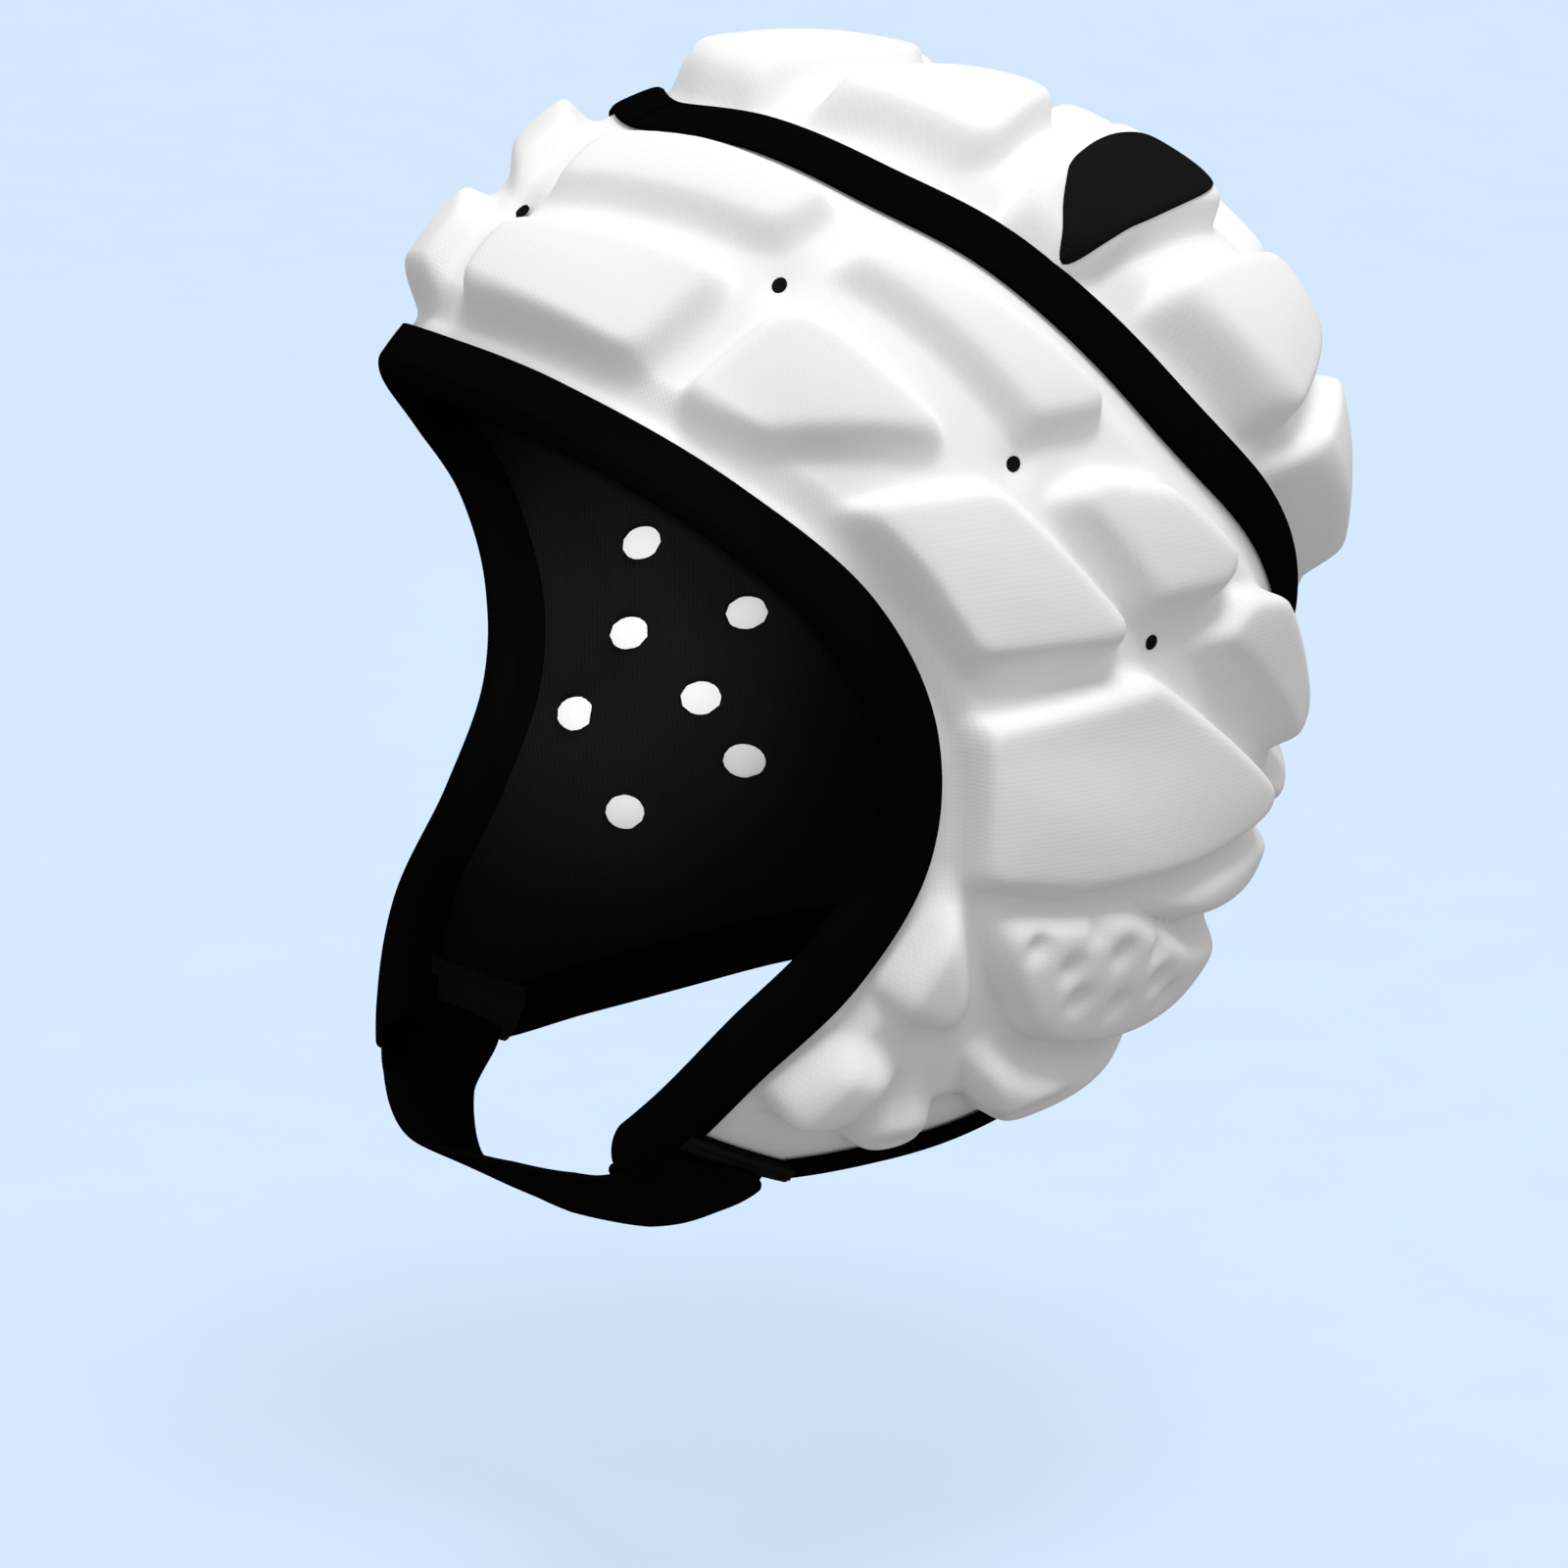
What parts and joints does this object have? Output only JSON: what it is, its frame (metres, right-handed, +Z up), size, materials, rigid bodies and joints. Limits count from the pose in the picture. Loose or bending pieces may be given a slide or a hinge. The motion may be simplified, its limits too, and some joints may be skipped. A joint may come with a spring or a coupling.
{
  "type": "padded sports helmet",
  "caption": "Soft padded sports head guard with raised foam blocks, taped edges, a lining with ear holes and a chin strap.",
  "frame": {"origin": "inside of the crown on the middle plane, where the helmet sits on the head", "axes": "+Z up, -Y the way the wearer looks, +X to the wearer's left"},
  "size_m": [0.1822, 0.1908, 0.2262],
  "materials": {
    "padded_cloth": "smooth white stretch cloth bonded over foam",
    "lining_cloth": "thin black knit",
    "black_tape": "matt black binding tape",
    "patch_cloth": "plain black cloth patch",
    "hem_cloth": "folded dark grey cloth",
    "strap_webbing": "black hook and loop webbing"
  },
  "bodies": {
    "root": {"wrap_panel": "padded_cloth", "crown_panel": "padded_cloth", "lining": "lining_cloth", "crown_band": "black_tape", "crown_patch": "patch_cloth", "face_binding": "black_tape", "neck_binding": "black_tape", "cheek_hem_left": "hem_cloth", "cheek_hem_right": "hem_cloth", "chin_strap": "strap_webbing", "strap_tab": "strap_webbing"}
  },
  "joints": []
}
